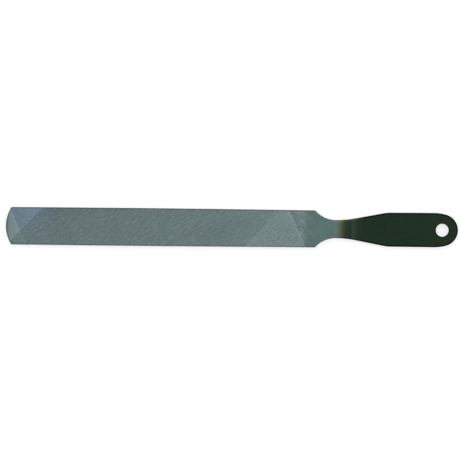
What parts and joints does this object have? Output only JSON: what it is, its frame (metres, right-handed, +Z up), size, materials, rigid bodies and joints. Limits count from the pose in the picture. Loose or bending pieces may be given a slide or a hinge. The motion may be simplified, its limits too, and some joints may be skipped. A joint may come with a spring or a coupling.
{
  "type": "flat file with integral handle",
  "caption": "Flat metalworking file made from one steel bar, with a toothed blade, rounded shoulders, a narrow neck and a flat blackened handle with a hang hole.",
  "frame": {"origin": "middle of the underside: halfway along the overall length, on the long centreline, on the plane that the file rests on", "axes": "+X along the file from the point to the handle end, +Y across the blade towards the safe narrow edge, +Z up out of the main face"},
  "size_m": [0.297, 0.025, 0.004],
  "materials": {
    "file_steel": "grey cut and ground steel on the blade, straw, brown and blue heat tints across the neck, green-black scale on the handle"
  },
  "bodies": {
    "root": {"file_body": "file_steel"}
  },
  "joints": []
}
